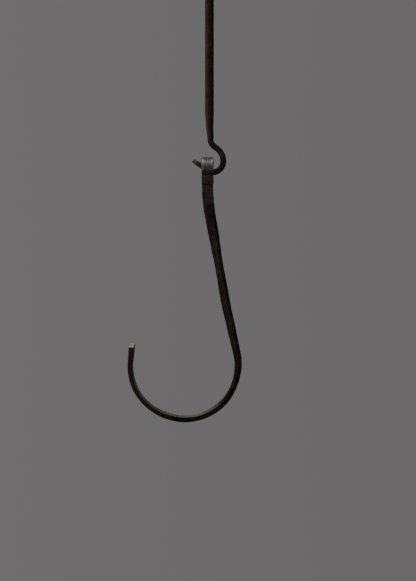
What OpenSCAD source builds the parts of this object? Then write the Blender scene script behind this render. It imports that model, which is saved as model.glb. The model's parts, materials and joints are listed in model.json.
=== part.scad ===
// Forged hanging hook: a flat-bar hook whose folded eye hangs on the small
// open hook at the foot of a round iron rod. Millimetres, +Z up.
// The origin is the middle of the rod's top end. The hook opens in the XZ plane.

/* [Rod] */
// Diameter of the round bar
rod_d = 10; // [8:0.5:12]
// Length of the bar above the drawn-down part
rod_len = 132; // [60:1:240]
// Length over which the bar is drawn down
draw_len = 37; // [20:0.5:60]
// Angle at which the drawn-down part leans out
draw_lean = 1.8; // [0:0.1:3]

/* [Rod hook] */
// Diameter of the drawn-down hook
hook_d = 6.6; // [5.4:0.2:8]
// Radius of the bend that carries the hook out to the side
offset_r = 11.8; // [9:0.2:16]
// Angle of that bend
offset_turn = 51; // [45:1:55]
// Radius of the upper part of the hook's outer sweep
sweep_r = 19.6; // [17:0.2:24]
// Radius of the lower part of the sweep
turn_r = 12.3; // [11:0.1:15]
// Radius of the last, tightest bend
nip_r = 8.4; // [7.6:0.2:10]
// Rise of the straight end above the horizontal
tip_rise = 35; // [30:1:40]
// Length of the straight end
tip_len = 22; // [18:0.5:28]
// Diameter at the cut end
tip_d = 3.9; // [3:0.1:4.6]

/* [Eye] */
// Width of the folded bar
eye_w = 13.2; // [12.6:0.1:16]
// Thickness of the folded bar
eye_t = 6.5; // [5.6:0.1:6.8]
// Room in which the eye swings, as a share of the rod hook's fall across the eye
eye_room = 0.384; // [0.34:0.002:0.48]
// Running gap between the fold and the rod's hook
eye_gap = 0.35; // [0.25:0.05:0.6]
// How far the eye's inner edge reaches over the rod's last bend
eye_reach = 4.96; // [3.7:0.02:5.3]
// How far the front leaf steps back towards the shank
front_set = 1.9; // [1.6:0.1:2.6]
// Length of the lap below the front leaf's step
lap_len = 7.4; // [6:0.1:10]
// Hairline gap between the lap and the shank
lap_gap = 0.3; // [0.2:0.05:0.5]

/* [Shank] */
// Width of the bar in the shank and the bowl
bar_w = 12.3; // [11:0.1:13]
// Thickness of the bar in the shank and the bowl
bar_t = 4.8; // [4:0.1:5.4]
// Radius of the bar's worn edges
edge_r = 1.2; // [0.8:0.1:1.6]
// Length of the bend below the eye
lean_len = 34; // [20:1:40]
// Angle at which the shank leans out
lean = 10; // [8:0.1:12]
// Length of the straight shank
shank_len = 89; // [60:1:160]
// Length of the lower bend
lower_len = 25; // [15:1:30]
// Further lean that the lower bend adds
lower_lean = 2.7; // [2:0.1:4]
// Length of the run into the bowl
run_in = 43.5; // [20:0.5:50]

/* [Bowl] */
// Centreline radius where the bar enters the bowl
entry_r = 61; // [50:0.1:70]
// Centreline radius of the rest of the bowl
bowl_r = 60.3; // [52:0.1:76]
// Lean of the tip towards the shank
tip_lean = 4.2; // [0:0.1:8]
// Length of the straight tip
point_len = 18.5; // [12:0.5:30]
// Slope of the cut across the tip's end
point_cut = 20; // [12:1:35]

/* [Hidden] */
$fn = 48;

IRON_BROWN = "#3a2a24";
IRON_BLACK = "#1e1c1b";

// Rod hook, in the XZ plane. Headings are measured from straight down towards +X.
offset_run = 3.5;          // straight run between the first bend and the sweep
turn_angle = 75;           // share of the turn that the lower sweep takes
nip_turn = 90 + tip_rise - turn_angle;

// Where the straight end of the rod's hook starts, from the bends above it.
tip_start_x = draw_len * sin(draw_lean)
    + offset_r * (cos(draw_lean) - cos(offset_turn)) + offset_run * sin(offset_turn)
    + sweep_r * (1 - cos(offset_turn)) - turn_r * (1 - cos(turn_angle))
    - nip_r * (cos(turn_angle) - cos(turn_angle + nip_turn));
tip_start_z = -rod_len - draw_len * cos(draw_lean)
    - offset_r * (sin(offset_turn) - sin(draw_lean)) - offset_run * cos(offset_turn)
    - sweep_r * sin(offset_turn) - turn_r * sin(turn_angle)
    - nip_r * (sin(turn_angle + nip_turn) - sin(turn_angle));
tip_taper = atan((hook_d - tip_d) / 2 / tip_len);
tip_top_slope = tip_rise - tip_taper;         // slope of the straight end's upper line

// The eye hangs with the outer edge of its fold on the straight end's upper line.
eye_fall = eye_w * tan(tip_top_slope);        // fall of the rod's hook across the eye
eye_r = hook_d / 2 + eye_room * eye_fall;     // inner radius of the fold
eye_x = tip_start_x + eye_reach - eye_w / 2;
edge_x = eye_x - eye_w / 2 + edge_r;
tip_top_x = tip_start_x + hook_d / 2 * sin(tip_rise);
tip_top_z = tip_start_z + hook_d / 2 * cos(tip_rise);
tip_line_z = tip_top_z + (tip_top_x - edge_x) * tan(tip_top_slope);
eye_z = tip_line_z + (edge_r + eye_gap) / cos(tip_top_slope) - edge_r - eye_r;

// Eye, in the YZ plane. Its axis is the hinge on which the hook swings.
eye_mid_r = eye_r + eye_t / 2;
front_turn = 20;           // how far the front leaf turns in, and back again
front_in_r = 8;            // centreline radius of its upper bend
front_out_r = 6;           // centreline radius of its lower bend
front_lift = 5.56;         // it turns in this much above the fall of the rod's hook
front_drop = eye_fall - front_lift;
front_run = (front_set - (front_in_r + front_out_r) * (1 - cos(front_turn))) / sin(front_turn);
lap_y = front_set - eye_mid_r;                // middle of the lap
shank_y = lap_y + eye_t + lap_gap;            // middle of the shank behind it

back_turn = 62;            // how far the back leaf turns in under the rod
back_in_gap = 4.3;         // inner radius of its upper bend
back_out_gap = 1.35;       // inner radius of its lower bend
back_lift = 3.06;          // it turns in this much above the fall of the rod's hook
back_drop = eye_fall - back_lift;
back_in_r = eye_t / 2 + back_in_gap;
back_out_r = eye_t / 2 + back_out_gap;
back_run = (eye_mid_r - shank_y - (back_in_r + back_out_r) * (1 - cos(back_turn))) / sin(back_turn);
shank_z = -back_drop - (back_in_r + back_out_r) * sin(back_turn) - back_run * cos(back_turn);

// Shank and bowl: stretches of the centreline as [length, turn].
entry_slope = 45;                             // slope of the bar where the entry radius ends
entry_turn = entry_slope + lean + lower_lean;
twist_end = 20;                               // part of the bowl in which the twist fades out
RUNS = [
    [lean_len, lean], [shank_len, 0], [lower_len, lower_lean], [run_in, 0],
    [arc_len(entry_r, entry_turn), -entry_turn], [arc_len(bowl_r, twist_end), -twist_end]
];
twisted_len = runs_len(len(RUNS));
bowl_turn = 180 - entry_slope - twist_end + tip_lean;  // rest of the bowl, which isn't twisted
straight_len = runs_len(4);                   // the stretches above the bowl

// The bar's twist, its extra width and its thickness down the shank. Each row starts
// with a share of the way to the bowl. Shares from 1 to 2 are the bowl's twisted part.
TWIST = [
    [0, 0], [0.08, 7], [0.18, 31], [0.32, 47], [0.45, 60], [0.62, 59], [0.82, 62],
    [1, 69], [1.3, 79], [1.6, 83], [2, 90]
];
SWELL = [
    [0, 0.2], [0.1, -0.3], [0.2, -0.4], [0.35, 0], [0.5, -0.8], [0.58, 0.2], [0.66, 0.7],
    [0.85, 0.2], [1, -0.1]
];
THICK = [[0, eye_t - 0.1], [0.12, bar_t + 0.5], [0.3, bar_t + 0.1], [1, bar_t]];

KNIT = 0.02;               // how far a joint stands proud of the stretches it makes one
KNIT_LEN = 0.2;            // half the length of such a joint in flat bar
STEP = 5;                  // spacing of the sections down the shank
SOCKET = 1.5;              // how far the twisted stretch runs into its neighbours
INSET = 0.04;              // how much smaller it is there
CORNER_STEPS = 5;
BOWL_STEP = 5;             // spacing in degrees at which the bowl's weight is summed

function arc_len(r, turn) = r * turn * PI / 180;
function runs_len(n) = n == 0 ? 0 : RUNS[n - 1][0] + runs_len(n - 1);

// Point and heading at distance s along one stretch that starts at p with heading h.
function along(p, h, run, s) =
    let (turn = run[1] * s / run[0])
    abs(turn) < 0.001
        ? [p[0] + s * sin(h), p[1] - s * cos(h), h]
        : let (r = s / (turn * PI / 180))
          [p[0] + r * (cos(h) - cos(h + turn)), p[1] - r * (sin(h + turn) - sin(h)), h + turn];
function path(s, i = 0, p = [0, 0, 0]) =
    s <= RUNS[i][0] || i == len(RUNS) - 1
        ? along(p, p[2], RUNS[i], s)
        : path(s - RUNS[i][0], i + 1, along(p, p[2], RUNS[i], RUNS[i][0]));

function share(s) = s < straight_len
    ? s / straight_len
    : 1 + (s - straight_len) / (twisted_len - straight_len);
function width(s) = bar_w + lookup(share(s), SWELL);
function thickness(s) = lookup(share(s), THICK);

// Corner points of a rounded rectangle, anticlockwise, width first.
function outline(w, t, r) = [
    for (q = [0:3], k = [0:CORNER_STEPS])
        let (a = 90 * q + 90 * k / CORNER_STEPS,
             cx = (q == 0 || q == 3 ? 1 : -1) * (w / 2 - r),
             cy = (q < 2 ? 1 : -1) * (t / 2 - r))
        [cx + r * cos(a), cy + r * sin(a)]
];

// One section of the shank. The twist turns its front face towards the tip's side.
function section(s, p, inset) =
    let (turned = lookup(share(s), TWIST), h = p[2])
    [for (c = outline(width(s) - 2 * inset, thickness(s) - 2 * inset, edge_r - inset))
        let (u = c[0] * cos(turned) + c[1] * sin(turned), v = c[1] * cos(turned) - c[0] * sin(turned))
        [p[0] + u * cos(h), v, p[1] + u * sin(h)]];

// A rounded bar section, width along X and thickness along Y.
module bar_section(w, t, r) {
    square([w - 2 * r, t], center = true);
    square([w, t - 2 * r], center = true);
    for (x = [-1, 1], y = [-1, 1]) translate([x * (w / 2 - r), y * (t / 2 - r)]) circle(r);
}

// Round bar: each stretch starts where the one above it ends, with a ball in the joint
// that makes them one piece.
module round_run(len, d, d_end) {
    translate([0, 0, -len]) cylinder(h = len, d1 = d_end, d2 = d);
    translate([0, 0, -len]) children();
}
module lean_out(angle) {
    rotate([0, -angle, 0]) children();
}
module ball(d) {
    sphere(d = d + 2 * KNIT);
    children();
}
module round_bend(r, turn, d) {
    mirror([turn < 0 ? 1 : 0, 0, 0]) translate([r, 0, 0]) rotate([90, 0, 0]) rotate([0, 0, 180])
        rotate_extrude(angle = abs(turn)) translate([r, 0]) circle(d = d);
    translate([sign(turn) * r * (1 - cos(turn)), 0, -r * sin(abs(turn))]) rotate([0, -turn, 0])
        children();
}

// Flat bar, drawn the same way. A positive turn is towards the front (-Y).
module flat_run(len, w, t) {
    translate([0, 0, -len]) linear_extrude(len) bar_section(w, t, edge_r);
    translate([0, 0, -len]) children();
}
module knuckle(w, t) {
    translate([0, 0, -KNIT_LEN]) linear_extrude(2 * KNIT_LEN)
        bar_section(w + 2 * KNIT, t + 2 * KNIT, edge_r + KNIT);
    children();
}
module flat_bend(r, turn, w, t) {
    mirror([0, turn < 0 ? 1 : 0, 0]) translate([0, -r, 0]) ring_part(r, 90 - abs(turn), abs(turn), w, t);
    translate([0, -sign(turn) * r * (1 - cos(turn)), -r * sin(abs(turn))]) rotate([-turn, 0, 0])
        children();
}
// Part of a flat ring about the X axis. Angles run from straight down through the back.
module ring_part(r, start, angle, w, t) {
    rotate([0, 90, 0]) rotate([0, 0, start]) rotate_extrude(angle = angle)
        translate([r, 0]) rotate([0, 0, 90]) bar_section(w, t, edge_r);
}

module rod() {
    color(IRON_BROWN)
    round_run(rod_len, rod_d, rod_d) ball(rod_d)
    lean_out(draw_lean)
    round_run(draw_len, rod_d, hook_d) ball(hook_d)
    round_bend(offset_r, offset_turn - draw_lean, hook_d) ball(hook_d)
    round_run(offset_run, hook_d, hook_d) ball(hook_d)
    round_bend(sweep_r, -offset_turn, hook_d) ball(hook_d)
    round_bend(turn_r, -turn_angle, hook_d) ball(hook_d)
    round_bend(nip_r, -nip_turn, hook_d) ball(hook_d)
    round_run(tip_len, hook_d, tip_d);
}

// The folded eye: over the rod, down the front to the lap, and down the back to the shank.
module eye() {
    ring_part(eye_mid_r, 90, 180, eye_w, eye_t);
    translate([0, -eye_mid_r, 0]) knuckle(eye_w, eye_t)
        flat_run(front_drop, eye_w, eye_t) knuckle(eye_w, eye_t)
        flat_bend(front_in_r, -front_turn, eye_w, eye_t) knuckle(eye_w, eye_t)
        flat_run(front_run, eye_w, eye_t) knuckle(eye_w, eye_t)
        flat_bend(front_out_r, front_turn, eye_w, eye_t) knuckle(eye_w, eye_t)
        flat_run(lap_len, eye_w, eye_t);
    translate([0, eye_mid_r, 0]) knuckle(eye_w, eye_t)
        flat_run(back_drop, eye_w, eye_t) knuckle(eye_w, eye_t)
        flat_bend(back_in_r, back_turn, eye_w, eye_t) knuckle(eye_w, eye_t)
        flat_run(back_run, eye_w, eye_t) knuckle(eye_w, eye_t)
        flat_bend(back_out_r, -back_turn, eye_w, eye_t) knuckle(eye_w, eye_t)
        flat_run(SOCKET, eye_w, eye_t);
}

// The shank with its quarter turn, as sections down the centreline.
module twisted_shank() {
    count = ceil(twisted_len / STEP);
    stations = [0, for (i = [0:count]) SOCKET + (twisted_len - SOCKET) * i / count, twisted_len + SOCKET];
    last = len(stations) - 1;
    rings = [for (i = [0:last])
        section(stations[i], path(stations[i]), i < 2 || i > last - 2 ? INSET : 0)];
    n = len(rings[0]);
    faces = concat(
        [[for (k = [n - 1:-1:0]) k]],
        [for (i = [0:last - 1], k = [0:n - 1]) [i * n + k, (i + 1) * n + (k + 1) % n, (i + 1) * n + k]],
        [for (i = [0:last - 1], k = [0:n - 1]) [i * n + k, i * n + (k + 1) % n, (i + 1) * n + (k + 1) % n]],
        [[for (k = [0:n - 1]) last * n + k]]
    );
    polyhedron([for (ring = rings) each ring], faces);
}

// The rest of the bowl and the tip, with the bar's wide face to the middle of the bowl.
module bowl() {
    start = path(twisted_len);
    translate([start[0], 0, start[1]]) rotate([0, -start[2], 0])
        translate([-bowl_r, 0, 0]) rotate([90, 0, 0]) {
            rotate([0, 0, -bowl_turn]) rotate_extrude(angle = bowl_turn)
                translate([bowl_r, 0]) bar_section(bar_t, bar_w, edge_r);
            rotate([0, 0, -bowl_turn]) translate([bowl_r, 0, 0]) rotate([90, 0, 0])
                knuckle(bar_t, bar_w) point();
        }
}
module point() {
    reach = bar_w * tan(point_cut) / 2;
    difference() {
        linear_extrude(point_len + reach) bar_section(bar_t, bar_w, edge_r);
        translate([0, 0, point_len]) rotate([-point_cut, 0, 0])
            translate([-bar_w, -bar_w, 0]) cube([2 * bar_w, 2 * bar_w, 4 * reach]);
    }
}

// The hook hangs freely, so it is turned about the eye's axis until it is in balance.
// Its middle of mass is summed over the centreline, from the eye to the tip.
bowl_start = path(twisted_len);
bowl_mid_z = bowl_start[1] - bowl_r * sin(bowl_start[2]);
shank_moment = [for (s = [0:STEP:twisted_len])
    width(s) * thickness(s) * STEP * [1, path(s)[1] + shank_z]];
bowl_moment = [for (a = [0:BOWL_STEP:bowl_turn])
    bar_w * bar_t * arc_len(bowl_r, BOWL_STEP)
    * [1, shank_z + bowl_mid_z + bowl_r * sin(bowl_start[2] - a)]];
point_moment = bar_w * bar_t * point_len * [1, shank_z + bowl_mid_z + point_len / 2];
function total(list, i = 0) = i == len(list) ? [0, 0] : list[i] + total(list, i + 1);
below = total(shank_moment) + total(bowl_moment) + point_moment;
hang_tilt = atan(below[0] * shank_y / below[1]);

module hook() {
    color(IRON_BLACK)
    translate([eye_x, 0, eye_z]) rotate([hang_tilt, 0, 0]) {
        eye();
        translate([0, shank_y, shank_z]) {
            twisted_shank();
            bowl();
        }
    }
}

rod();
hook();
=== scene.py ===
"""Forged hanging hook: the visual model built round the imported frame.

A round iron rod ends in a small open hook. A flat-bar hook with a folded eye hangs on it.
Both are swept along the centrelines that the smith bent them to, and then hammered.
"""

import json
from functools import partial
from math import ceil, cos, degrees, pi, radians, sin, tan

import bpy
from bpy.props import FloatProperty, FloatVectorProperty, IntProperty, PointerProperty
from bpy.types import Operator, Panel, PropertyGroup
from mathutils import Matrix, Vector

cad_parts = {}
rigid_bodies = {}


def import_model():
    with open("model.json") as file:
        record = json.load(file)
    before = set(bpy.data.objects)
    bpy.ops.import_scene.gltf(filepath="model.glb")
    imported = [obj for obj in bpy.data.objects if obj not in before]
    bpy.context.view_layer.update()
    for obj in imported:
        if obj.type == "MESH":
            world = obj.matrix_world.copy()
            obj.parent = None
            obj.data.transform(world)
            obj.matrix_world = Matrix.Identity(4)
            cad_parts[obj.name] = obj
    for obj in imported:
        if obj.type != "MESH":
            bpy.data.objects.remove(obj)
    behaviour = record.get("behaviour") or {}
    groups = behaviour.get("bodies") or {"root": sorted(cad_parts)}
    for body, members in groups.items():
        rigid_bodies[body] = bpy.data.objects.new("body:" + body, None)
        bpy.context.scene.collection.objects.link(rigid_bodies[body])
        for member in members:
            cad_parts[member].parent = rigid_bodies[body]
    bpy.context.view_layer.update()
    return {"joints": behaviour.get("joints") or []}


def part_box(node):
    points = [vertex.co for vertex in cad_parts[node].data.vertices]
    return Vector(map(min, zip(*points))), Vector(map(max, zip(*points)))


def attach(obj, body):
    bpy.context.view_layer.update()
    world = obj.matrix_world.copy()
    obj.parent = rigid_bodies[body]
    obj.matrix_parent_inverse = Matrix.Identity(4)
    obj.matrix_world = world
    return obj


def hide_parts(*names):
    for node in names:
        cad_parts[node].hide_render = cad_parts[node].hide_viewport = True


bl_info = {
    "name": "Forged Hanging Hook",
    "version": (1, 0, 0),
    "blender": (4, 5, 0),
    "location": "View3D > Sidebar > Hook",
    "description": "Builds a forged rod and the flat-bar hook that hangs on it",
    "category": "Object",
}

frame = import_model()
SWING = frame["joints"][0]  # the eye on the rod's hook
HINGE = Vector(SWING["pos_m"])
ROD_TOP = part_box("rod")[1].z


def mm(value):
    """Millimetres to metres."""
    return value / 1000


def to_linear(code):
    """An sRGB hex colour as linear red, green and blue."""
    parts = [int(code[i:i + 2], 16) / 255 for i in (1, 3, 5)]
    return tuple(c / 12.92 if c <= 0.04045 else ((c + 0.055) / 1.055) ** 2.4 for c in parts)


def length(name, value, description, low=0.0):
    """A size in metres, given in millimetres."""
    return FloatProperty(name=name, description=description, default=mm(value), min=mm(low),
                         unit="LENGTH", subtype="DISTANCE", precision=5)


def angle(name, value, description):
    """An angle, given in degrees."""
    return FloatProperty(name=name, description=description, default=radians(value),
                         unit="ROTATION", subtype="ANGLE")


def power(name, value, description):
    """A light's power."""
    return FloatProperty(name=name, description=description, default=value, min=0.0,
                         unit="POWER")


def colour(name, code, description):
    """A surface colour, given as sRGB hex."""
    return FloatVectorProperty(name=name, description=description, default=to_linear(code),
                               size=3, min=0.0, max=1.0, subtype="COLOR")


# Sizes and colours

class HOOK_PG_rod(PropertyGroup):
    """The round rod and the small hook at its foot."""
    bar_d: length("Bar Diameter", 10, "Diameter of the round bar")
    bar_len: length("Bar Length", 132, "Length of the bar above the drawn-down part")
    draw_len: length("Draw Length", 37, "Length over which the bar is drawn down")
    draw_lean: angle("Draw Lean", 1.8, "Lean of the drawn-down part")
    hook_d: length("Hook Diameter", 6.6, "Diameter of the drawn-down hook")
    offset_r: length("Offset Radius", 11.8, "Radius of the bend that leads out to the side")
    offset_turn: angle("Offset Turn", 51, "Angle of that bend")
    offset_run: length("Offset Run", 3.5, "Straight stretch after it")
    sweep_r: length("Sweep Radius", 19.6, "Radius of the hook's upper sweep")
    turn_r: length("Turn Radius", 12.3, "Radius of its lower sweep")
    turn_angle: angle("Turn Angle", 75, "Angle of the lower sweep")
    nip_r: length("Nip Radius", 8.4, "Radius of the last bend")
    tip_rise: angle("Tip Rise", 35, "Rise of the straight end")
    tip_len: length("Tip Length", 21.8, "Length of the straight end")
    tip_d: length("Tip Diameter", 4.1, "Diameter at the cut end")


class HOOK_PG_eye(PropertyGroup):
    """The folded eye and its lap."""
    width: length("Width", 13.2, "Width of the folded bar")
    thickness: length("Thickness", 6.5, "Thickness of the folded bar")
    inner_r: length("Inner Radius", 6.405, "Inner radius of the fold")
    front_set: length("Front Set", 1.9, "How far the front leaf steps back")
    front_turn: angle("Front Turn", 20, "Slope of that step")
    front_in_r: length("Front Upper Radius", 8, "Radius of the step's upper bend")
    front_out_r: length("Front Lower Radius", 6, "Radius of its lower bend")
    front_drop: length("Front Drop", 2.525, "Straight stretch above the step")
    lap_drop: length("Lap Drop", 17.61, "Depth of the lap's end below the eye's axis")
    lap_gap: length("Lap Gap", 0.3, "Hairline between the lap and the shank")
    lap_width: length("Lap Width", 13.3, "Width at the lap's end")
    back_turn: angle("Back Turn", 62, "How far the back leaf turns in under the rod")
    back_in_gap: length("Back Upper Radius", 4.3, "Inner radius of its upper bend")
    back_out_gap: length("Back Lower Radius", 1.35, "Inner radius of its lower bend")
    back_drop: length("Back Drop", 5.025, "Straight stretch above the upper bend")
    hang: angle("Hang", 0.2973, "Turn about the eye's axis that brings the hook into balance")


class HOOK_PG_shank(PropertyGroup):
    """The flat bar from the eye to the tip."""
    width: length("Width", 12.3, "Width of the bar")
    thickness: length("Thickness", 4.8, "Thickness of the bar")
    edge_r: length("Edge Radius", 1.2, "Radius of the bar's worn edges")
    lean_len: length("Lean Length", 34, "Length of the bend below the eye")
    lean: angle("Lean", 10, "Angle at which the shank leans out")
    straight: length("Straight Length", 89, "Length of the straight shank")
    lower_len: length("Lower Length", 25, "Length of the lower bend")
    lower_lean: angle("Lower Lean", 2.7, "Further lean that it adds")
    run_in: length("Run In", 43.5, "Length of the run into the bowl")
    entry_r: length("Entry Radius", 61, "Centreline radius where the bar enters the bowl")
    entry_slope: angle("Entry Slope", 45, "Slope of the bar where that radius ends")
    bowl_r: length("Bowl Radius", 60.3, "Centreline radius of the rest of the bowl")
    twist_end: angle("Twist End", 20, "Part of the bowl in which the twist fades out")
    tip_lean: angle("Tip Lean", 4.2, "Lean of the tip towards the shank")
    point_len: length("Point Length", 18.5, "Length of the straight tip")
    point_cut: angle("Point Cut", 20, "Slope of the cut across the tip")
    point_spread: length("Point Spread", 0.7, "Extra thickness that the cut spread into the tip")


class HOOK_PG_marks(PropertyGroup):
    """The marks that the smith's tools left."""
    spacing: length("Section Spacing", 0.8, "Distance between the mesh's sections", 0.3)
    wave_depth: length("Wave Depth", 0.28, "How far the bar's width and thickness wander")
    wave_length: length("Wave Length", 17, "Length of such a wave", 1)
    blow_depth: length("Blow Depth", 0.5, "Depth between the hammer's flats and their ridges")
    blow_size: length("Blow Size", 11, "Distance from one blow to the next", 1)
    scale_depth: length("Scale Depth", 0.14, "Height of the crust left by the fire")
    scale_size: length("Scale Size", 2.6, "Size of its flakes", 0.5)
    seed: IntProperty(name="Seed", description="Sets the places of the marks", default=7, min=0)


class HOOK_PG_finish(PropertyGroup):
    """The colours of the iron."""
    scale_dark: colour("Scale, Dark", "#050303", "Darkest forge scale on the hook")
    scale_light: colour("Scale, Light", "#3a2d2b", "Lightest forge scale on the hook")
    # This grey is also painted light: it lightens the shank under the lap, the eye's leaf and the
    # bowl's left wall.
    scale_grey: colour("Scale, Greyed", "#6b605e", "Scale that hands have rubbed thin and grey")
    scale_rust: colour("Scale, Rust", "#4a3029", "Rust that shows through the scale")
    patina_dark: colour("Patina, Dark", "#2a1610", "Darkest brown of the rod")
    patina_light: colour("Patina, Light", "#533429", "Lightest brown of the rod")
    # This brown is also a painted highlight along the rod's drawn-down part.
    patina_grey: colour("Patina, Greyed", "#5a4c46", "Brown that hands have rubbed thin")
    patina_rust: colour("Patina, Rust", "#624034", "Rust that shows through the brown")
    bright: colour("Bright", "#b8b4b3", "Bare iron where it rubs or is cut")
    floor: colour("Floor", "#dcdadb", "Painted floor")


class HOOK_PG_studio(PropertyGroup):
    """Floor, lights and camera."""
    distance: length("Camera Distance", 680, "From the camera to the middle of the hook", 100)
    eye_level: length("Camera Drop", 339.9, "Height of the camera below the rod's top")
    lens: FloatProperty(name="Lens", description="Focal length", default=37.6, min=1.0,
                        unit="CAMERA")
    floor_drop: length("Floor Drop", 950, "Depth of the floor below the rod's top")
    floor_r: length("Floor Radius", 540, "Radius of the floor")
    key: power("Side Light", 3.2, "Power of the softbox at the left")
    top: power("Top Light", 5.0, "Power of the softbox overhead")
    rear: power("Rear Light", 1.6, "Power of the softbox behind")
    fill: power("Fill Light", 1.8, "Power of the softbox at the rear right")
    room: colour("Room", "#6e6c6d", "Grey of the walls all round")


class HOOK_PG_settings(PropertyGroup):
    """Everything a user would change."""
    rod: PointerProperty(type=HOOK_PG_rod, name="Rod")
    eye: PointerProperty(type=HOOK_PG_eye, name="Eye")
    shank: PointerProperty(type=HOOK_PG_shank, name="Shank")
    marks: PointerProperty(type=HOOK_PG_marks, name="Forge Marks")
    finish: PointerProperty(type=HOOK_PG_finish, name="Finish")
    studio: PointerProperty(type=HOOK_PG_studio, name="Studio")


# Nodes

SEAM = mm(0.004)  # points nearer than this are one


def add(tree, kind, links=None, **settings):
    """Adds a node with its settings and links. A link's key is the name or number of an
    input in use, and its value a node (its first output in use), an output or a constant."""
    made = tree.nodes.new(kind)
    for name, value in settings.items():
        setattr(made, name, value)
    for key, value in (links or {}).items():
        live = [s for s in made.inputs if s.enabled]
        socket = live[key] if isinstance(key, int) else next(s for s in live if s.name == key)
        if isinstance(value, bpy.types.Node):
            value = next(s for s in value.outputs if s.enabled)
        if isinstance(value, bpy.types.NodeSocket):
            tree.links.new(value, socket)
        else:
            socket.default_value = value
    return made


def blank_tree(owner):
    """The node tree of a material or a world, emptied."""
    owner.use_nodes = True
    owner.node_tree.nodes.clear()
    return owner.node_tree


BAR_SIZES = ("Wave Depth", "Wave Length", "Blow Depth", "Blow Size", "Scale Depth", "Scale Size")
BAR_INPUTS = (("Centreline", "Geometry"), ("Outline", "Object"),
              *((name, "Float") for name in BAR_SIZES), ("Seed", "Float"),
              ("Material", "Material"))


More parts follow.
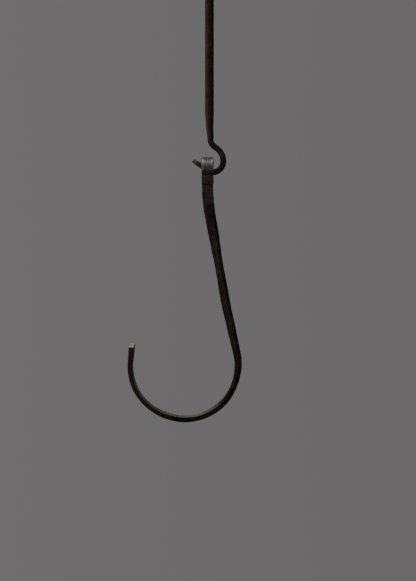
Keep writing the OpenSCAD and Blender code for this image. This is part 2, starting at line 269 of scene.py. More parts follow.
def forged_bar_tree():
    """Geometry Nodes that sweep an outline down a centreline and hammer the result.

    The centreline's points carry the section's directions (across, through), its half
    width, half thickness and edge radius (size), and marks: distance along the bar, slant
    of the section, and how hard it was hammered. wear says how bright its outer face,
    inner face and whole section are rubbed. tone says how grey it is, partly rubbed grey
    and partly painted light and shade, how rusty it is, and how far the greying and the
    inner face's wear keep to one edge.
    """
    tree = bpy.data.node_groups.new("Forged bar", "GeometryNodeTree")
    for name, kind in BAR_INPUTS:
        tree.interface.new_socket(name, in_out="INPUT", socket_type="NodeSocket" + kind)
    tree.interface.new_socket("Bar", in_out="OUTPUT", socket_type="NodeSocketGeometry")
    node = partial(add, tree)
    given = node("NodeGroupInput").outputs

    # One column of vertices for each outline point, with a seam, and one row a section.
    outline = node("GeometryNodeObjectInfo", {"Object": given["Outline"]}).outputs["Geometry"]
    rows, points = (node("GeometryNodeAttributeDomainSize", {"Geometry": line})
                    for line in (given["Centreline"], outline))
    columns = node("FunctionNodeIntegerMath", {0: points, 1: 1}, operation="ADD")
    grid = node("GeometryNodeMeshGrid", {"Vertices X": rows, "Vertices Y": columns})
    index = node("GeometryNodeInputIndex")
    row = node("FunctionNodeIntegerMath", {0: index, 1: columns}, operation="DIVIDE_FLOOR")
    column = node("FunctionNodeIntegerMath", {0: index, 1: columns}, operation="MODULO")
    corner = node("FunctionNodeIntegerMath", {0: column, 1: points}, operation="MODULO")

    read = []
    for geometry, at, names in (
            (given["Centreline"], row, "place across through size marks wear tone"),
            (outline, corner, "place arc")):
        for name in names.split():
            value = node("GeometryNodeInputNamedAttribute", {"Name": name},
                         data_type="FLOAT_VECTOR")
            read.append(node("GeometryNodeSampleIndex", {"Geometry": geometry, "Value": value,
                                                         "Index": at}, data_type="FLOAT_VECTOR"))
    centre, across, through, size, marks, wear, tone, flat, arc = read
    marks, wear, tone = (node("ShaderNodeSeparateXYZ", {0: value}).outputs
                         for value in (marks, wear, tone))

    # The bar's width, thickness and edges wander a little on the way down.
    step = node("ShaderNodeMath", {0: marks["X"], 1: given["Wave Length"]}, operation="DIVIDE")
    place = node("ShaderNodeCombineXYZ", {"X": step, "Y": given["Seed"]})
    wander = node("ShaderNodeTexNoise", {"Vector": place, "Scale": 1.0})
    wander = node("ShaderNodeVectorMath", {0: wander.outputs["Color"], 1: (0.5, 0.5, 0.5)},
                  operation="SUBTRACT")
    reach = node("ShaderNodeMath", {0: given["Wave Depth"], 1: marks["Z"]}, operation="MULTIPLY")
    wander = node("ShaderNodeVectorMath", {0: wander, "Scale": reach}, operation="SCALE")
    size = node("ShaderNodeVectorMath", {0: size, 1: wander}, operation="ADD")
    half = node("ShaderNodeSeparateXYZ", {0: size}).outputs

    # A point of the section: its share of the flats, and then round the edge.
    edge = node("ShaderNodeCombineXYZ", {"X": half["Z"], "Y": half["Z"], "Z": half["Z"]})
    flats = node("ShaderNodeVectorMath", {0: size, 1: edge}, operation="SUBTRACT")
    rounding = node("ShaderNodeVectorMath", {0: arc, 1: edge}, operation="MULTIPLY")
    local = node("ShaderNodeVectorMath", {0: flat, 1: flats, 2: rounding},
                 operation="MULTIPLY_ADD")
    local = node("ShaderNodeSeparateXYZ", {0: local}).outputs
    down = node("ShaderNodeVectorMath", {0: through, 1: across}, operation="CROSS_PRODUCT")
    slant = node("ShaderNodeMath", {0: local["X"], 1: marks["Y"]}, operation="MULTIPLY")
    point = centre
    for direction, amount in ((across, local["X"]), (through, local["Y"]), (down, slant)):
        part = node("ShaderNodeVectorMath", {0: direction, "Scale": amount}, operation="SCALE")
        point = node("ShaderNodeVectorMath", {0: point, 1: part}, operation="ADD")

    # Kept on the mesh for the material: place in the bar, tone, wear, nearness to an edge and
    # hammering. One-sided grey and wear are lost from near one edge (-1) to the middle (0).
    depth = node("ShaderNodeMath", {0: local["Y"], 1: half["Y"]}, operation="DIVIDE")
    aside = node("ShaderNodeMath", {0: local["X"], 1: half["X"]}, operation="DIVIDE")
    lost = node("ShaderNodeMapRange", {"Value": aside, "From Min": -0.7, "From Max": 0.0,
                                       "To Max": tone["Z"]})
    kept = node("ShaderNodeMath", {0: 1.0, 1: lost}, operation="SUBTRACT")
    inner = node("ShaderNodeMath", {0: wear["Y"], 1: kept}, operation="MULTIPLY")
    rubbed = wear["Z"]
    for worn, low, high in ((wear["X"], 0.7, 0.97), (inner, -0.88, -1.0)):
        facing = node("ShaderNodeMapRange", {"Value": depth, "From Min": low, "From Max": high})
        rubbed = node("ShaderNodeMath", {0: facing, 1: worn, 2: rubbed}, operation="MULTIPLY_ADD")
    sides = node("ShaderNodeSeparateXYZ", {0: flat}).outputs
    near = node("ShaderNodeMath", {0: sides["X"], 1: sides["Y"]}, operation="MULTIPLY")
    near = node("ShaderNodeMath", {0: near}, operation="ABSOLUTE")
    along = node("ShaderNodeCombineXYZ", {"X": local["X"], "Y": local["Y"], "Z": marks["X"]})
    # Where more than all of the grey is lost, it drops below 0, and the material paints shade
    # there.
    grey_and_painted_light = node("ShaderNodeMath", {0: tone["X"], 1: kept}, operation="MULTIPLY")
    tone = node("ShaderNodeCombineXYZ", {"X": grey_and_painted_light, "Y": tone["Y"]})
    bar = grid
    for name, value, kind in (("place", along, "FLOAT_VECTOR"), ("tone", tone, "FLOAT_VECTOR"),
                              ("wear", rubbed, "FLOAT"), ("edge", near, "FLOAT"),
                              ("struck", marks["Z"], "FLOAT")):
        bar = node("GeometryNodeStoreNamedAttribute", {"Geometry": bar, "Name": name,
                                                       "Value": value},
                   data_type=kind)
    bar = node("GeometryNodeSetPosition", {"Geometry": bar, "Position": point})
    bar = node("GeometryNodeMergeByDistance", {"Geometry": bar, "Distance": SEAM})

    # Hammer flats with soft ridges between them, and the crust of scale over both.
    spot = node("GeometryNodeInputPosition")
    shift = node("ShaderNodeCombineXYZ", {"X": given["Seed"]})
    spot = node("ShaderNodeVectorMath", {0: spot, 1: shift}, operation="ADD")
    blows, flakes = (node("ShaderNodeMath", {0: 1.0, 1: given[size]}, operation="DIVIDE")
                     for size in ("Blow Size", "Scale Size"))
    blow = node("ShaderNodeTexVoronoi", {"Vector": spot, "Scale": blows, "Smoothness": 0.35},
                feature="SMOOTH_F1")
    crust = node("ShaderNodeTexNoise", {"Vector": spot, "Scale": flakes, "Detail": 4.0,
                                        "Roughness": 0.6})
    height = 0.0
    for texture, middle, tall in ((blow.outputs["Distance"], 0.45, given["Blow Depth"]),
                                  (crust, 0.5, given["Scale Depth"])):
        level = node("ShaderNodeMath", {0: texture, 1: middle}, operation="SUBTRACT")
        height = node("ShaderNodeMath", {0: level, 1: tall, 2: height}, operation="MULTIPLY_ADD")
    struck = node("GeometryNodeInputNamedAttribute", {"Name": "struck"})
    height = node("ShaderNodeMath", {0: height, 1: struck}, operation="MULTIPLY")
    normal = node("GeometryNodeInputNormal")
    offset = node("ShaderNodeVectorMath", {0: normal, "Scale": height}, operation="SCALE")
    bar = node("GeometryNodeSetPosition", {"Geometry": bar, "Offset": offset})
    bar = node("GeometryNodeSetShadeSmooth", {"Geometry": bar})
    bar = node("GeometryNodeRealizeInstances", {"Geometry": bar})
    bar = node("GeometryNodeSetMaterial", {"Geometry": bar, "Material": given["Material"]})
    node("NodeGroupOutput", {"Bar": bar})
    return tree


# Sizes of the marks in the iron, with their noise's detail and roughness. The specks of
# rust are coarser than real ones, so that they show. A streak lies along the drawn-out bar.
CLOUDS, FLAKES = (mm(16.129), 4.0, 0.55), (mm(1.9231), 6.0, 0.62)
SPECKS, PITS = (mm(0.86957), 3.0, 0.7), mm(2.3256)
STREAKS = (mm(1.1111), mm(1.1111), mm(16.667))
# Wear of the edges, as an amount and how sharply it keeps to them: a fine line on all of
# them, and more where the iron rubs.
LINE_WEAR, EDGE_WEAR = (0.15, 12.0), (0.2, 4.0)


def iron_material(name, look, kind, patchy, sheen, gloss):
    """Wrought iron under forge scale, which is black on the hook and waxed brown on the rod.

    The scale is a dull, cloudy crust a few hundredths of a millimetre thick. It breaks
    into flakes, lets rust through in specks, and wears to bare bright iron where it rubs.
    kind says which of the look's colours it has, patchy how strongly the clouds show, sheen
    is the scale's lowest roughness and gloss its specular level.
    """
    dark, light, grey, rust = (getattr(look, f"{kind}_{tone}")
                               for tone in ("dark", "light", "grey", "rust"))
    material = bpy.data.materials.new(name)
    node = partial(add, blank_tree(material))
    spot = node("ShaderNodeTexCoord").outputs["Object"]
    place, worn, edge, tone = (
        node("ShaderNodeAttribute", attribute_name=name).outputs[output]
        for name, output in (("place", "Vector"), ("wear", "Fac"), ("edge", "Fac"),
                             ("tone", "Vector")))
    tone = node("ShaderNodeSeparateXYZ", {0: tone}).outputs

    clouds, flakes, specks = (
        node("ShaderNodeTexNoise", {"Vector": spot, "Scale": 1 / size, "Detail": detail,
                                    "Roughness": rough})
        for size, detail, rough in (CLOUDS, FLAKES, SPECKS))
    drawn = node("ShaderNodeVectorMath", {0: place, 1: STREAKS}, operation="DIVIDE")
    streaks = node("ShaderNodeTexNoise", {"Vector": drawn, "Scale": 1.0, "Detail": 4.0,
                                          "Roughness": 0.6})
    pits = node("ShaderNodeTexVoronoi", {"Vector": spot, "Scale": 1 / PITS})

    # The crust is mottled, rusty in specks and sooty in pits. Its tone greys it where hands
    # rub it and also where light is painted on, and a tone below 0 paints it darker, which is
    # painted shade in places.
    mottle = node("ShaderNodeMath", {0: clouds, 1: patchy, 2: -0.5 * patchy},
                  operation="MULTIPLY_ADD")
    mottle = node("ShaderNodeMath", {0: flakes, 1: mottle}, operation="ADD")
    mottle = node("ShaderNodeMapRange", {"Value": mottle, "From Min": 0.485, "From Max": 0.62})
    rusty = node("ShaderNodeMath", {0: specks, 1: clouds}, operation="MULTIPLY")
    rusty = node("ShaderNodeMapRange", {"Value": rusty, "From Min": 0.26, "From Max": 0.38,
                                        "To Max": 0.7})
    rusty = node("ShaderNodeMath", {0: tone["Y"], 1: flakes, 2: rusty}, operation="MULTIPLY_ADD")
    grey_and_painted_light = node("ShaderNodeMapRange", {"Value": flakes, "From Min": 0.28, "From Max": 0.62})
    grey_and_painted_light = node("ShaderNodeMath", {0: grey_and_painted_light, 1: tone["X"]}, operation="MULTIPLY")
    crust = node("ShaderNodeMapRange", {"Value": tone["X"], "To Min": 1.0, "To Max": 0.2})
    rusty = node("ShaderNodeMath", {0: rusty, 1: crust}, operation="MULTIPLY")
    pit = node("ShaderNodeMapRange", {"Value": pits.outputs["Distance"], "From Max": 0.35})
    soot_and_painted_shade = node("ShaderNodeMapRange", {"Value": pit, "To Min": 0.8, "To Max": 0.0})
    # A tone below 0 paints the crust darker: painted shade on parts of the rod and the shank.
    painted_shade_and_darkening = node("ShaderNodeMapRange", {"Value": tone["X"], "From Max": -1.0})
    soot_and_painted_shade = node("ShaderNodeMath", {0: soot_and_painted_shade, 1: crust, 2: painted_shade_and_darkening}, operation="MULTIPLY_ADD")
    base = (*dark, 1)
    for factor, over in ((mottle, light), (grey_and_painted_light, grey), (rusty, rust), (soot_and_painted_shade, dark)):
        base = node("ShaderNodeMix", {"Factor": factor, "A": base, "B": (*over, 1)},
                    data_type="RGBA").outputs[2]

    # Wear is broken up by the flakes and streaks, and touches the edges lightly.
    line, corner = (node("ShaderNodeMath", {0: edge, 1: keen}, operation="POWER")
                    for _, keen in (LINE_WEAR, EDGE_WEAR))
    corner = node("ShaderNodeMath", {0: corner, 1: worn}, operation="MULTIPLY")
    break_up = node("ShaderNodeMath", {0: streaks, 1: 0.35, 2: flakes}, operation="MULTIPLY_ADD")
    rub = worn
    for over, amount in ((line, LINE_WEAR[0]), (corner, EDGE_WEAR[0]), (break_up, 0.95)):
        rub = node("ShaderNodeMath", {0: over, 1: amount, 2: rub}, operation="MULTIPLY_ADD")
    rub = node("ShaderNodeMapRange", {"Value": rub, "From Min": 0.9, "From Max": 1.5})
    shine = node("ShaderNodeMapRange", {"Value": streaks, "From Min": 0.3, "From Max": 0.7,
                                        "To Min": 0.8})
    steel = node("ShaderNodeMix", {"Factor": shine, "A": (*light, 1), "B": (*look.bright, 1)},
                 data_type="RGBA").outputs[2]
    base = node("ShaderNodeMix", {"Factor": rub, "A": base, "B": steel},
                data_type="RGBA").outputs[2]

    dull = node("ShaderNodeMapRange", {"Value": flakes, "From Min": 0.3, "From Max": 0.7,
                                       "To Min": sheen, "To Max": sheen + 0.2})
    dull = node("ShaderNodeMix", {"Factor": rub, "A": dull, "B": 0.5})
    tall = node("ShaderNodeMath", {0: pit, 1: 0.5, 2: flakes}, operation="MULTIPLY_ADD")
    tall = node("ShaderNodeMath", {0: streaks, 1: 0.35, 2: tall}, operation="MULTIPLY_ADD")
    bump = node("ShaderNodeBump", {"Height": tall, "Strength": 0.8, "Distance": mm(0.22)})
    shader = node("ShaderNodeBsdfPrincipled", {
        "Base Color": base, "Roughness": dull, "Metallic": rub, "Normal": bump,
        "IOR": 1.5, "Specular IOR Level": gloss})
    node("ShaderNodeOutputMaterial", {"Surface": shader})
    return material


# Centrelines

def arc_len(radius, turn):
    """Length of an arc."""
    return radius * turn


def walk(runs, step, heading=0.0):
    """Stations (distance, sideways, height, heading) down a chain of (length, turn) runs.
    Headings are measured from straight down."""
    along = side = height = 0.0
    stations = [(along, side, height, heading)]
    for run, turn in runs:
        count = max(1, ceil(run / step))
        part, bend = run / count, turn / count
        chord = part * (sin(bend / 2) / (bend / 2) if bend else 1.0)
        for _ in range(count):
            side += chord * sin(heading + bend / 2)
            height -= chord * cos(heading + bend / 2)
            heading += bend
            along += part
            stations.append((along, side, height, heading))
    return stations


def lookup(value, table):
    """Straight-line interpolation in a table of (value, result) rows."""
    if value <= table[0][0]:
        return table[0][1]
    for (a, low), (b, high) in zip(table, table[1:]):
        if value <= b:
            return low + (high - low) * (value - a) / (b - a)
    return table[-1][1]


class Section:
    """One section of a bar: where it is, how it faces, its size and its marks.

    Its fields are what the bar's nodes read. edge is the radius of its corners, struck says
    how hard it was hammered, and slant tilts it down the bar. outer, inner and end say how
    bright its outer face, its inner face and all of it are rubbed. Its tone holds how grey it
    is, which is partly rubbed grey and partly painted light and shade, then rusty and one_sided.
    """

    def __init__(self, centre, across, through, width, thickness, edge, struck=1.0, outer=0.0,
                 inner=0.0, end=0.0, slant=0.0, grey_and_painted_light=0.0, rusty=0.0, one_sided=0.0):
        self.place, self.across, self.through = Vector(centre), Vector(across), Vector(through)
        self.size = (width / 2, thickness / 2, edge)
        self.struck, self.wear, self.slant = struck, (outer, inner, end), slant
        self.tone = (grey_and_painted_light, rusty, one_sided)

    def shrunk(self, share, shift, aside, end, struck):
        """The same section, smaller, and shifted down the bar and aside, for a cut face."""
        down = self.through.cross(self.across)
        w, t, r = 2 * self.size[0], 2 * self.size[1], self.size[2]
        return Section(self.place + down * shift + self.through * aside, self.across,
                       self.through, w * share, t * share, r * share, struck, 0.0, 0.0, end,
                       self.slant, *self.tone)


CUT_RINGS = (0.84, 0.68, 0.52, 0.36, 0.2, 0.07, 0.0)  # shares of the bevel's size
BEVEL_SET, CUT_SET = 0.6, 0.7  # how far out both stand, in chamfers


def cut_end(section, facing, chamfer, bright, struck=0.3, aside=0.0):
    """Sections that close a bar with a cut face: a bevel, and then rings to its middle.
    facing is 1 at the bar's far end."""
    least = 1 - chamfer / min(section.size[:2])
    rings = [section.shrunk(least, facing * chamfer * BEVEL_SET, aside, bright, struck)]
    for share in CUT_RINGS:
        rings.append(section.shrunk(share * least, facing * chamfer * CUT_SET, aside, bright,
                                    struck if share else 0.0))
    return rings if facing > 0 else rings[::-1]


def linked(name, data):
    """A new object with this data, in the scene."""
    made = bpy.data.objects.new(name, data)
    bpy.context.scene.collection.objects.link(made)
    return made


def point_object(name, points, edges, values):
    """An object of points that carry rows of vectors, by name."""
    mesh = bpy.data.meshes.new(name)
    mesh.from_pydata(points, edges, [])
    for key, rows in values.items():
        layer = mesh.attributes.new(key, "FLOAT_VECTOR", "POINT")
        layer.data.foreach_set("vector", [x for row in rows for x in row])
    return linked(name, mesh)


def centreline(name, sections):
    """The sections as a line of points that carry them."""
    along, marks = 0.0, []
    for i, section in enumerate(sections):
        along += (section.place - sections[i - 1].place).length if i else 0.0
        marks.append((along, section.slant, section.struck))
    values = {key: [getattr(section, key) for section in sections]
              for key in ("place", "across", "through", "size", "wear", "tone")}
    return point_object(name, values["place"], [(i, i + 1) for i in range(len(sections) - 1)],
                        {**values, "marks": marks})


def bar_outline(name, wide, narrow, corner):
    """The section's outline as points: their share of the flats, and the edge's direction
    (arc). wide, narrow and corner count the steps along each side and round each corner."""
    points, arcs = [], []
    signs = ((1, 1), (-1, 1), (-1, -1), (1, -1))
    for q, (x, y) in enumerate(signs):
        for k in range(corner + 1):
            turn = radians(90 * (q + k / corner))
            points.append((x, y, 0))
            arcs.append((cos(turn), sin(turn), 0))
        after = signs[(q + 1) % 4]
        steps = wide if q % 2 == 0 else narrow
        turn = radians(90 * (q + 1))
        for k in range(1, steps):
            mid = k / steps
            points.append((x + (after[0] - x) * mid, y + (after[1] - y) * mid, 0))
            arcs.append((cos(turn), sin(turn), 0))
    return point_object(name, points, [], {"place": points, "arc": arcs})


def round_outline(name, steps):
    """A round bar's outline: no flats, only the arc."""
    points = [(0, 0, 0)] * steps
    arcs = [(cos(2 * pi * k / steps), sin(2 * pi * k / steps), 0) for k in range(steps)]
    return point_object(name, points, [], {"place": points, "arc": arcs})


def forge(name, sections, outline, marks, material, seed):
    """Runs the bar's nodes on the sections and returns the result as a plain mesh."""
    source = centreline(name + "_centreline", sections)
    tree = bpy.data.node_groups.get("Forged bar") or forged_bar_tree()
    modifier = source.modifiers.new("Forged bar", "NODES")
    modifier.node_group = tree
    keys = {s.name: s.identifier for s in tree.interface.items_tree if s.in_out == "INPUT"}
    values = {key: getattr(marks, key.lower().replace(" ", "_")) for key in BAR_SIZES}
    values.update({"Outline": outline, "Seed": float(marks.seed + seed), "Material": material})
    for key, value in values.items():
        modifier[keys[key]] = value
    graph = bpy.context.evaluated_depsgraph_get()
    mesh = bpy.data.meshes.new_from_object(source.evaluated_get(graph))
    source.modifiers.remove(modifier)
    for helper in (source, outline):
        bpy.data.objects.remove(helper)
    mesh.name = name
    if not mesh.polygons:
        raise RuntimeError(f"{name} came out empty")
    return linked(name, mesh)


# Pieces

# How unevenly the rod was drawn down, by millimetres from where that starts: how much
# fuller it stays than an even taper and how far it wanders sideways, in millimetres, and
# how it is painted lighter and darker. Above 0 it is a painted highlight, broader than the
# lamps give; below 0 it is painted shade, against the light from the rear right.
DRAWN_FULLER = ((0, 0), (3.5, 0.35), (6.8, 0.8), (10, 0.95), (16, 0.75), (24, 0.7),
                (28, 0.5), (34, 0.55), (38, 0.5), (43, 0.25), (50, 0))
DRAWN_SHIFT = ((0, 0), (7, -0.25), (14, -0.25), (20, -0.45), (25, -0.45), (30, -0.2),
               (37, 0), (41, -0.5), (47, -0.6), (51, -0.45), (56, -0.25), (61, 0))
DRAWN_PAINTED_LIGHT_AND_SHADE = ((-32, 0), (-26, -0.4), (7, -0.4), (14, 0.15), (20, 0.35), (34, 0.35), (40, 0))
# Its end is a little fuller, droops, and is rubbed to a lighter, rustier brown, by
# millimetres from the cut.
END_FULLER = ((0, 0.35), (5, 0.45), (12, 0.3), (18, 0))
END_DROOP = ((0, 0.6), (6, 0.6), (12, 0.2), (18, 0))
END_GREYED = ((2, 0.45), (8, 0.35), (20, 0.3), (27, 0))
END_RUST = ((2, 0.5), (8, 1.3), (20, 1.2), (27, 0.0))
ROD_STEPS = 44  # round the rod


class HOOK_OT_rod(Operator):
    """Forges the round rod and the small hook at its foot"""
    bl_idname = "hook.rod"
    bl_label = "Forge the Rod"

    def execute(self, context):
        settings = context.scene.forged_hook
        size, look = settings.rod, settings.finish
        nip_turn = pi / 2 + size.tip_rise - size.turn_angle
        runs = [
            (size.bar_len, 0.0), (mm(0.5), size.draw_lean), (size.draw_len - mm(0.5), 0.0),
            (arc_len(size.offset_r, size.offset_turn - size.draw_lean),
             size.offset_turn - size.draw_lean),
            (size.offset_run, 0.0),
            (arc_len(size.sweep_r, size.offset_turn), -size.offset_turn),
            (arc_len(size.turn_r, size.turn_angle), -size.turn_angle),
            (arc_len(size.nip_r, nip_turn), -nip_turn),
            (size.tip_len, 0.0),
        ]
        stations = walk(runs, settings.marks.spacing)
        whole = stations[-1][0]
        draw_end, tip = size.bar_len + size.draw_len, whole - size.tip_len
        diameters = [(0.0, size.bar_d), (size.bar_len, size.bar_d), (draw_end, size.hook_d),
                     (tip, size.hook_d), (whole, size.tip_d)]
        struck = [(0.0, 0.2), (mm(6), 0.35), (size.bar_len, 0.45), (draw_end, 0.6),
                  (tip - mm(8), 0.45), (tip, 0.25), (whole, 0.35)]
        rubbed = [(tip, 0.0), (whole - mm(9), 0.1), (whole - mm(4), 0.45), (whole, 0.6)]
        sections = []
        for along, side, height, heading in stations:
            across = Vector((cos(heading), 0, sin(heading)))
            drawn, left = (along - size.bar_len) * 1000, (whole - along) * 1000
            fuller = mm(lookup(drawn, DRAWN_FULLER) + lookup(left, END_FULLER))
            shift = mm(lookup(drawn, DRAWN_SHIFT) + lookup(left, END_DROOP))
            d = lookup(along, diameters) + fuller
            sections.append(Section(
                Vector((side, 0, ROD_TOP + height)) + across * shift, across, (0, 1, 0),
                d, d, d / 2, lookup(along, struck), end=lookup(along, rubbed),
                grey_and_painted_light=lookup(drawn, DRAWN_PAINTED_LIGHT_AND_SHADE) + lookup(left, END_GREYED),
                rusty=lookup(left, END_RUST)))
        sections = (cut_end(sections[0], -1, chamfer=mm(0.4), bright=0.2) + sections[1:-1]
                    + cut_end(sections[-1], 1, chamfer=mm(0.2), bright=0.75))
        material = iron_material("waxed_brown_wrought_iron", look, "patina", patchy=0.4,
                                 sheen=0.46, gloss=0.35)
        rod = forge("rod_bar", sections, round_outline("rod_outline", ROD_STEPS),
                    settings.marks, material, seed=3)
        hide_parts("rod")
        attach(rod, SWING["parent"])
        return {"FINISHED"}


# Down the eye's front leaf, by millimetres from the fold: how bright it is rubbed, and how
# grey it is, which is partly rubbed grey and partly painted light and shade: darker 4 to 8
# millimetres down, as painted shade in a shallow dent, and lighter below that, against the
# shade of the leaf's step and its thinned lap. The lap is beaten thinner, by metres from
# its cut end.
LEAF_WEAR = ((0, 0.47), (1.2, 0.42), (2.4, 0.37), (3.6, 0.33), (5.5, 0.1), (7, 0))
LEAF_GREY_AND_PAINTED_LIGHT = ((0, 0.9), (4, 0.6), (5.5, 0.45), (8.3, 0.5), (10, 1.15), (15.5, 1.1),
               (17.2, 0.7))
LAP_THINNER = ((0, mm(1.6)), (mm(6.5), 0.0))
LEAF_NARROWER = mm(0.2)  # than the fold
LAP_ASIDE, LAP_SLANT = mm(0.25), -0.12  # where the lap is cut off
CREST_WIDER, CREST_SHARPER = mm(0.7), mm(0.35)  # than the rest of the fold
# Over the fold, by degrees from the front, how bright, grey and rusty it is.
FOLD_WEAR = ((0, 0.48), (9, 0.64), (18, 0.82), (28, 0.65), (36, 0.45), (46, 0.4), (58, 0.28),
             (100, 0.2), (180, 0.35))
FOLD_GREYED = ((48, 0.8), (64, 0.45), (112, 0.45), (140, 0.8))
FOLD_RUST = ((50, 0.0), (66, 1.3), (110, 1.3), (140, 0.2))
# Down the shank, as shares of the way to the bowl. Shares from 1 to 2 are the bowl's
# twisted part. Turn is in degrees, and extra width and thickness are in millimetres.
TURN = ((0, 0), (0.08, 7), (0.18, 31), (0.32, 47), (0.45, 60), (0.62, 59), (0.82, 62),
        (1, 69), (1.3, 79), (1.6, 83), (2, 90))
EXTRA_WIDTH = ((0, 0.6), (0.08, 0.2), (0.12, -0.3), (0.18, -0.4), (0.24, -0.05),
               (0.32, 0.45), (0.37, 0.1), (0.5, -0.55), (0.58, 0.35), (0.66, 0.85),
               (0.85, 0.35), (1, 0))
EXTRA_THICKNESS = ((0.12, 0.5), (0.3, 0.25), (0.8, 0.2), (0.9, 0.35), (1, 0.1))
# Round the bowl, by millimetres from its lowest place towards the tip: how much further in
# and out its two faces lie than an even bar's, in millimetres, how far its inner face is
# rubbed bright, and how rusty it is.
BOWL_INNER = ((-84, 0), (-74, -0.1), (-63, -0.1), (-53, 0.1), (-42, 0.4), (-10, 0.45),
              (0, 0.9), (21, 0.95), (32, 0.4), (42, -0.15), (53, -0.5), (63, -0.5),
              (74, -0.4), (84, 0), (95, -0.2), (105, 0))
BOWL_OUTER = ((-95, 0), (-84, -0.45), (-74, -0.5), (-63, -0.2), (-53, 0.2), (-42, 0.45),
              (-32, 0.25), (-10, 0.1), (0, 0), (10, -0.3), (21, -0.5), (32, -0.55),
              (42, -0.5), (53, -0.2), (63, 0), (74, 0.15), (84, 0))
BOWL_WEAR = ((-80, 0), (-68, 0.45), (-50, 0.72), (-20, 0.68), (-2, 0.62), (10, 0.52),
             (26, 0.44), (38, 0.15), (50, 0))
BOWL_RUST = ((25, 0.08), (45, 1.2), (100, 1.2))
# How far the shank's scale is grey, by millimetres from its top: partly rubbed grey and
# partly painted light. Just under the lap it is painted lighter, against the lap's shadow,
# and so is the bowl's left wall near the tip, where the light falls. Below 0 it is painted
# darker. One-sided grey and wear fade across the bar, from the shank's left edge and from
# the back of the bowl. Above 1 the rest is painted darker: below the eye this is painted
# shade on the bar's right part, where it dips in.
SHANK_GREY_AND_PAINTED_LIGHT = ((0, 1.1), (9, 0.9), (15, 0.62), (20, 0.75), (26, 0.9), (28, 0.6), (37, 0.45),
          (42, 0.2), (46, 0), (49, -0.2), (58, -0.12), (64, -0.15), (70, 0.15), (92, 0.2),
          (97, 0.4), (106, 0.35), (110, -0.1), (120, -0.05), (128, 0.1), (138, 0.25),
          (144, 0.1), (156, 0.15), (164, 0), (172, 0.1), (185, 0.1), (205, 0.15),
          (225, 0.1), (250, 0.35), (275, 0.25), (290, 0), (315, 0), (335, 0.35),
          (370, 0.52), (388, 0.36), (398, 0.32), (405, 0.5))
ONE_SIDED_GREY_WEAR_AND_PAINTED_SHADE = ((19, 0), (26, 1.3), (31, 2.2), (37, 3.5), (42, 2), (46, 0), (200, 0),
             (226, 1.5), (247, 1), (258, 0.5), (268, 0.25), (280, 0.1), (300, 0.2),
             (316, 0.3), (330, 0.2), (345, 0))
BOWL_EDGE = 0.4  # of the shank's edge radius
BAR_STEPS = {"wide": 12, "narrow": 5, "corner": 5}  # round the flat bar


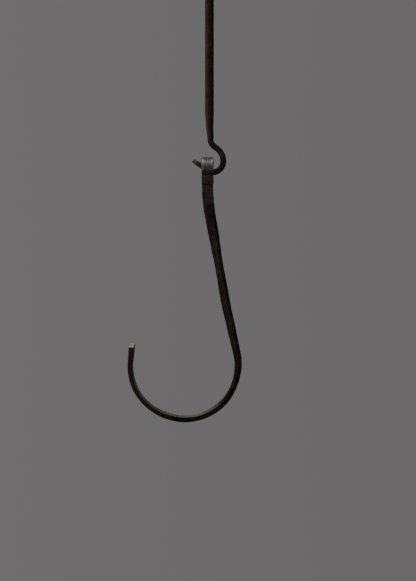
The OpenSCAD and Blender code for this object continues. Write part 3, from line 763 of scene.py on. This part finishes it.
class HOOK_OT_hook(Operator):
    """Forges the flat-bar hook with its folded eye"""
    bl_idname = "hook.hook"
    bl_label = "Forge the Hook"

    def execute(self, context):
        settings = context.scene.forged_hook
        eye, bar, look = settings.eye, settings.shank, settings.finish
        step = settings.marks.spacing
        mid_r = eye.inner_r + eye.thickness / 2
        sections = (self.front_leaf(eye, bar, mid_r, step) + self.fold(eye, bar, mid_r, step)
                    + self.back_leaf(eye, bar, mid_r, step))
        top = sections[-1].place.copy()
        sections += self.shank(eye, bar, top, step)[1:]
        # The tip was cut off, which burred it, so its face stands out a little to one side.
        sections = (cut_end(sections[0], -1, chamfer=mm(0.5), bright=0.3) + sections[1:-1]
                    + cut_end(sections[-1], 1, chamfer=mm(0.5), bright=1.0, struck=0.5,
                              aside=mm(0.45)))
        hung = Matrix.Translation(HINGE) @ Matrix.Rotation(eye.hang, 4, "X")
        for section in sections:
            section.place = hung @ section.place
            section.across = hung.to_3x3() @ section.across
            section.through = hung.to_3x3() @ section.through
        material = iron_material("black_forge_scale_iron", look, "scale", patchy=0.7,
                                 sheen=0.52, gloss=0.22)
        hook = forge("hook_bar", sections, bar_outline("hook_outline", **BAR_STEPS),
                     settings.marks, material, seed=0)
        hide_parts("hook")
        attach(hook, SWING["child"])
        return {"FINISHED"}

    @staticmethod
    def front_leaf(eye, bar, mid_r, step):
        """From the lap's cut end up to the fold."""
        bends = eye.front_in_r + eye.front_out_r
        run = (eye.front_set - bends * (1 - cos(eye.front_turn))) / sin(eye.front_turn)
        end = eye.front_drop + bends * sin(eye.front_turn) + run * cos(eye.front_turn)
        stations = walk([
            (eye.front_drop, 0.0),
            (arc_len(eye.front_in_r, eye.front_turn), -eye.front_turn),
            (run, 0.0),
            (arc_len(eye.front_out_r, eye.front_turn), eye.front_turn),
            (eye.lap_drop - end, 0.0)], step)
        whole = stations[-1][0]
        made = []
        for along, side, height, heading in reversed(stations):
            to_end = whole - along
            width = lookup(along / whole, ((0, eye.width), (0.35, eye.width - LEAF_NARROWER),
                                           (1, eye.lap_width)))
            shift = LAP_ASIDE * along / whole
            thinner = lookup(to_end, LAP_THINNER)
            made.append(Section(
                (shift, -mid_r - side + thinner / 2, height), (1, 0, 0),
                (0, -cos(heading), sin(heading)), width, eye.thickness - thinner,
                bar.edge_r, lookup(to_end, ((0, 1.0), (whole, 0.25))),
                outer=lookup(along * 1000, LEAF_WEAR),
                grey_and_painted_light=lookup(along * 1000, LEAF_GREY_AND_PAINTED_LIGHT), rusty=0.3,
                slant=lookup(to_end, ((0, LAP_SLANT), (mm(6), 0.0)))))
        return made

    @staticmethod
    def fold(eye, bar, mid_r, step):
        """Over the rod's hook, where the crest is rubbed bright."""
        count = ceil(pi * mid_r / step)
        made = []
        for i in range(1, count):
            turn = pi * i / count
            crest, around = sin(turn), degrees(turn)
            made.append(Section(
                (0, -mid_r * cos(turn), mid_r * crest), (1, 0, 0),
                (0, -cos(turn), crest), eye.width + CREST_WIDER * crest ** 4,
                eye.thickness, bar.edge_r - CREST_SHARPER * crest, 0.25,
                outer=lookup(around, FOLD_WEAR), inner=0.4 * crest,
                grey_and_painted_light=lookup(around, FOLD_GREYED), rusty=lookup(around, FOLD_RUST)))
        return made

    @staticmethod
    def back_leaf(eye, bar, mid_r, step):
        """From the fold down and in under the rod, to the top of the shank."""
        shank_y = eye.front_set - mid_r + eye.thickness + eye.lap_gap
        upper = eye.thickness / 2 + eye.back_in_gap
        lower = eye.thickness / 2 + eye.back_out_gap
        run = (mid_r - shank_y - (upper + lower) * (1 - cos(eye.back_turn))) / sin(eye.back_turn)
        stations = walk([
            (eye.back_drop, 0.0), (arc_len(upper, eye.back_turn), eye.back_turn),
            (run, 0.0), (arc_len(lower, eye.back_turn), -eye.back_turn)], step)
        whole = stations[-1][0]
        made = []
        for along, side, height, heading in stations:
            width = lookup(along / whole, ((0, eye.width), (0.6, eye.width - LEAF_NARROWER),
                                           (1, bar.width + mm(0.2))))
            made.append(Section(
                (0, mid_r - side, height), (1, 0, 0), (0, cos(heading), -sin(heading)),
                width, eye.thickness, bar.edge_r, lookup(along / whole, ((0, 0.25), (1, 0.3))),
                outer=lookup(along, ((0, 0.35), (mm(6), 0.0)))))
        return made

    @staticmethod
    def shank(eye, bar, top, step):
        """Down the shank with its quarter turn, round the bowl and up to the cut tip."""
        entry = bar.entry_slope + bar.lean + bar.lower_lean
        rest = pi - bar.entry_slope - bar.twist_end + bar.tip_lean
        runs = [
            (bar.lean_len, bar.lean), (bar.straight, 0.0), (bar.lower_len, bar.lower_lean),
            (bar.run_in, 0.0), (arc_len(bar.entry_r, entry), -entry),
            (arc_len(bar.bowl_r, bar.twist_end), -bar.twist_end),
            (arc_len(bar.bowl_r, rest), -rest), (bar.point_len, 0.0)]
        straight = sum(run for run, _ in runs[:4])
        twisted = straight + runs[4][0] + runs[5][0]
        whole = sum(run for run, _ in runs)
        bowl_bottom = twisted + arc_len(bar.bowl_r, pi / 2 - bar.entry_slope - bar.twist_end)
        back = Vector((0, 1, 0))
        made = []
        for along, side, height, heading in walk(runs, step):
            way = (along / straight if along < straight
                   else min(2.0, 1 + (along - straight) / (twisted - straight)))
            turn = radians(lookup(way, TURN))
            sin_t, cos_t = sin(turn), cos(turn)
            out = Vector((cos(heading), 0, sin(heading)))
            extra = mm(lookup(way, EXTRA_THICKNESS))
            thickness = lookup(way, ((0, eye.thickness - mm(0.1)), (0.12, bar.thickness + extra)))
            past, left = (along - bowl_bottom) * 1000, whole - along
            inner = (lookup(left, ((mm(10), bar.point_spread), (mm(24), 0)))
                     + mm(lookup(past, BOWL_INNER)))
            outer = mm(lookup(past, BOWL_OUTER))
            made.append(Section(
                top + Vector((side, 0, height)) + out * (outer - inner) / 2,
                out * cos_t - back * sin_t, out * sin_t + back * cos_t,
                bar.width + mm(lookup(way, EXTRA_WIDTH)), thickness + inner + outer,
                lookup(way, ((1, bar.edge_r), (1.3, bar.edge_r * BOWL_EDGE))),
                lookup(along, ((0, 0.3), (mm(16), 0.9), (straight, 0.9), (twisted, 0.55),
                               (whole, 0.6))),
                inner=lookup(past, BOWL_WEAR), grey_and_painted_light=lookup(along * 1000, SHANK_GREY_AND_PAINTED_LIGHT),
                rusty=lookup(past, BOWL_RUST), one_sided=lookup(along * 1000, ONE_SIDED_GREY_WEAR_AND_PAINTED_SHADE),
                slant=-lookup(left, ((0, tan(bar.point_cut)), (mm(9), 0.0)))))
        return made


# Stage

# The softboxes: the setting that holds each one's power, and its name, place, aim and side.
SOFTBOXES = (("key", "side", (-1.2, -0.1, 0.1), (0, 0, -0.3), 0.8),
             ("top", "overhead", (-0.2, -0.05, 0.95), (0, 0, -0.34), 0.8),
             ("rear", "rear", (0.2, 0.95, 0.5), (0, 0, -0.34), 0.6),
             ("fill", "rear_right", (0.8, 1.1, 0.1), (0, 0, -0.3), 0.8))
# How bright the room is to each side, as an axis, where on it the level starts and ends to
# change, and both levels. The wall is a touch lighter towards the left. The room lights the
# iron from the left and the front, and little from the right and from behind.
WALL, SIDE = ("X", -0.5, 0.5, 1.07, 0.91), ("X", -0.9, 0.7, 1.1, 0.65)
FRONT, BEHIND = ("Y", -0.8, 0.4, 1.3, 0.1), ("Y", 0.8, 0.97, 0.0, 1.0)
CAMERA_ASIDE = mm(-1.68)  # from the rod's middle
FLOOR_STEPS = 96  # round the floor's edge
ROLLER = mm(2.8571)  # size of the stipple in its paint


class HOOK_OT_stage(Operator):
    """Sets the floor, the soft lights, the grey room and the camera"""
    bl_idname = "hook.stage"
    bl_label = "Set the Stage"

    def execute(self, context):
        studio = context.scene.forged_hook.studio
        self.floor(studio, context.scene.forged_hook.finish.floor)
        for key, *box in SOFTBOXES:
            self.softbox(*box, getattr(studio, key))
        world = bpy.data.worlds.new("grey_room")
        context.scene.world = world
        node = partial(add, blank_tree(world))
        facing = node("ShaderNodeTexCoord").outputs["Generated"]
        facing = node("ShaderNodeSeparateXYZ", {0: facing}).outputs
        wall, side, front, behind = (
            node("ShaderNodeMapRange", {"Value": facing[axis], "From Min": start, "From Max": end,
                                        "To Min": low, "To Max": high})
            for axis, start, end, low, high in (WALL, SIDE, FRONT, BEHIND))
        room = node("ShaderNodeMath", {0: side, 1: front, 2: behind}, operation="MULTIPLY_ADD")
        seen = node("ShaderNodeLightPath").outputs["Is Camera Ray"]
        level = node("ShaderNodeMix", {"Factor": seen, "A": room, "B": wall})
        glow = node("ShaderNodeBackground", {"Color": (*studio.room, 1), "Strength": level})
        node("ShaderNodeOutputWorld", {"Surface": glow})
        data = bpy.data.cameras.new("camera")
        data.lens, data.sensor_width = studio.lens, 36.0
        data.clip_start, data.clip_end = 0.01, 20.0
        camera = linked("camera", data)
        camera.location = (CAMERA_ASIDE, -studio.distance, -studio.eye_level)
        camera.rotation_euler = (radians(90), 0, 0)
        context.scene.camera = camera
        return {"FINISHED"}

    @staticmethod
    def floor(studio, paint):
        """A round of smooth floor, painted pale and rubbed matt."""
        material = bpy.data.materials.new("matt_floor_paint")
        node = partial(add, blank_tree(material))
        spot = node("ShaderNodeTexCoord").outputs["Object"]
        roller = node("ShaderNodeTexNoise", {"Vector": spot, "Scale": 1 / ROLLER, "Detail": 3.0})
        bump = node("ShaderNodeBump", {"Height": roller, "Strength": 0.2, "Distance": mm(0.3)})
        shader = node("ShaderNodeBsdfPrincipled", {
            "Base Color": (*paint, 1), "Roughness": 0.7, "Normal": bump})
        node("ShaderNodeOutputMaterial", {"Surface": shader})
        turns = [2 * pi * k / FLOOR_STEPS for k in range(FLOOR_STEPS)]
        ring = [(studio.floor_r * cos(t), studio.floor_r * sin(t), -studio.floor_drop)
                for t in turns]
        mesh = bpy.data.meshes.new("floor")
        mesh.from_pydata(ring, [], [list(range(FLOOR_STEPS))])
        mesh.materials.append(material)
        linked("floor", mesh)

    @staticmethod
    def softbox(name, place, target, size, energy):
        """A square soft light that faces the target."""
        data = bpy.data.lights.new(name, "AREA")
        data.size, data.energy = size, energy
        light = linked(name, data)
        light.location = place
        light.rotation_mode = "QUATERNION"
        light.rotation_quaternion = (Vector(target) - Vector(place)).to_track_quat("-Z", "Y")


class HOOK_PT_panel(Panel):
    """Lists the steps of the build"""
    bl_label = "Forged Hook"
    bl_idname = "HOOK_PT_panel"
    bl_space_type = "VIEW_3D"
    bl_region_type = "UI"
    bl_category = "Hook"

    def draw(self, context):
        settings = context.scene.forged_hook
        for step in STEPS:
            self.layout.operator(step.bl_idname)
        for key in settings.__annotations__:
            group = getattr(settings, key)
            box = self.layout.box()
            box.label(text=settings.bl_rna.properties[key].name)
            for prop in group.__annotations__:
                box.prop(group, prop)


STEPS = (HOOK_OT_stage, HOOK_OT_rod, HOOK_OT_hook)
CLASSES = (HOOK_PG_rod, HOOK_PG_eye, HOOK_PG_shank, HOOK_PG_marks, HOOK_PG_finish,
           HOOK_PG_studio, HOOK_PG_settings, *STEPS, HOOK_PT_panel)


def register():
    for made in CLASSES:
        bpy.utils.register_class(made)
    bpy.types.Scene.forged_hook = PointerProperty(type=HOOK_PG_settings)


def unregister():
    del bpy.types.Scene.forged_hook
    for made in reversed(CLASSES):
        bpy.utils.unregister_class(made)


def main():
    register()
    bpy.ops.hook.stage()
    bpy.ops.hook.rod()
    bpy.ops.hook.hook()


if __name__ == "__main__":
    main()
